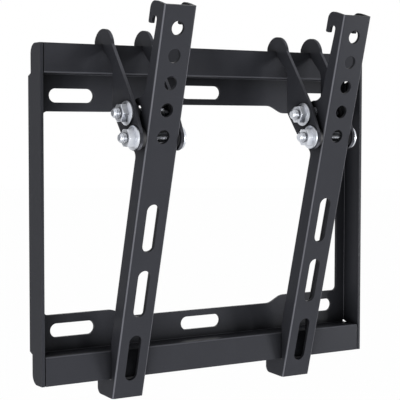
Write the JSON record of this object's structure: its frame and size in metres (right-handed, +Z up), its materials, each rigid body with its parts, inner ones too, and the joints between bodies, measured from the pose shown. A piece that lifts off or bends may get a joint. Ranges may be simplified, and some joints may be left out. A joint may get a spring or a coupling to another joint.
{
  "type": "tilting tv wall bracket",
  "caption": "Folded steel wall plate with sliding hooked arms that hold a flat television and tilt it forward, clamped by bolts in arc slots.",
  "frame": {"origin": "middle of the plate's wall face, at the centre of the four end slots", "axes": "+X to the right as seen from the front, +Y into the wall, +Z up"},
  "size_m": [0.24, 0.0797, 0.234],
  "materials": {
    "black_powder_coat": "matte black powder coat on steel",
    "zinc_plated_steel": "bright bluish zinc plate",
    "black_nylon": "plain black nylon washers"
  },
  "bodies": {
    "wall_frame": {"wall_plate": "black_powder_coat"},
    "left_hanger": {"left_hook_plate_nut_side": "black_powder_coat", "left_hook_plate_head_side": "black_powder_coat", "left_pivot_bolt": "zinc_plated_steel", "left_pivot_nut": "zinc_plated_steel", "left_clamp_bolt": "zinc_plated_steel", "left_clamp_nut": "zinc_plated_steel", "left_pivot_washer_nut_side": "black_nylon", "left_pivot_washer_head_side": "black_nylon", "left_clamp_washer_nut_side": "black_nylon", "left_clamp_washer_head_side": "black_nylon"},
    "left_tv_arm": {"left_arm": "black_powder_coat", "left_arm_foot_nut_side": "black_powder_coat", "left_arm_foot_head_side": "black_powder_coat"},
    "right_hanger": {"right_hook_plate_nut_side": "black_powder_coat", "right_hook_plate_head_side": "black_powder_coat", "right_pivot_bolt": "zinc_plated_steel", "right_pivot_nut": "zinc_plated_steel", "right_clamp_bolt": "zinc_plated_steel", "right_clamp_nut": "zinc_plated_steel", "right_pivot_washer_nut_side": "black_nylon", "right_pivot_washer_head_side": "black_nylon", "right_clamp_washer_nut_side": "black_nylon", "right_clamp_washer_head_side": "black_nylon"},
    "right_tv_arm": {"right_arm": "black_powder_coat", "right_arm_foot_nut_side": "black_powder_coat", "right_arm_foot_head_side": "black_powder_coat"}
  },
  "joints": [
    {"name": "left_slide", "type": "slide", "parent": "wall_frame", "child": "left_hanger", "axis": [1, 0, 0], "range_m": [-0.0384, 0.026]},
    {"name": "left_tilt", "type": "hinge", "parent": "left_hanger", "child": "left_tv_arm", "pos_m": [-0.0636, -0.054, 0.0452], "axis": [1, 0, 0], "range_deg": [-14.7, 0]},
    {"name": "right_slide", "type": "slide", "parent": "wall_frame", "child": "right_hanger", "axis": [1, 0, 0], "range_m": [-0.026, 0.0402]},
    {"name": "right_tilt", "type": "hinge", "parent": "right_hanger", "child": "right_tv_arm", "pos_m": [0.0636, -0.054, 0.0452], "axis": [1, 0, 0], "range_deg": [-14.7, 0]}
  ]
}
